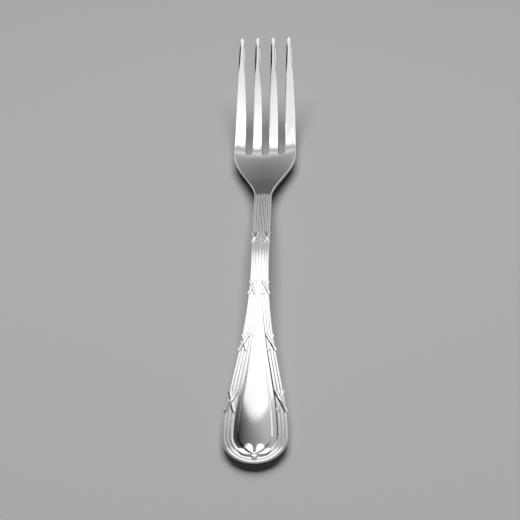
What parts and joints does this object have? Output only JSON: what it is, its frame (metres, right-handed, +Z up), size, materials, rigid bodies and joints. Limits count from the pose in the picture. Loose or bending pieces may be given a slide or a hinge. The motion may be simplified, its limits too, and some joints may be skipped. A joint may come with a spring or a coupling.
{
  "type": "child fork",
  "caption": "Child's table fork: slender upswept tines, dished head, arched reeded stem and a spatulate handle edged with reeds that crossed ribbons tie.",
  "frame": {"origin": "on the table, under the middle of the fork's box", "axes": "+Y towards the tine tips, +X to the right seen from the handle with the front up, +Z up"},
  "size_m": [0.0198, 0.152, 0.0169],
  "materials": {
    "silver": "mirror-polished silver",
    "relief": "polished silver relief, darker in its grooves"
  },
  "bodies": {
    "root": {"tine_outer_left": "silver", "tine_inner_left": "silver", "tine_inner_right": "silver", "tine_outer_right": "silver", "head": "silver", "stem": "silver", "handle": "silver", "terminal": "silver", "front_reed_outer": "relief", "front_reed_middle": "relief", "front_reed_inner": "relief", "back_reed_outer": "relief", "back_reed_middle": "relief", "back_reed_inner": "relief", "front_ribbon_ties": "relief", "back_ribbon_ties": "relief", "front_bow": "relief"}
  },
  "joints": []
}
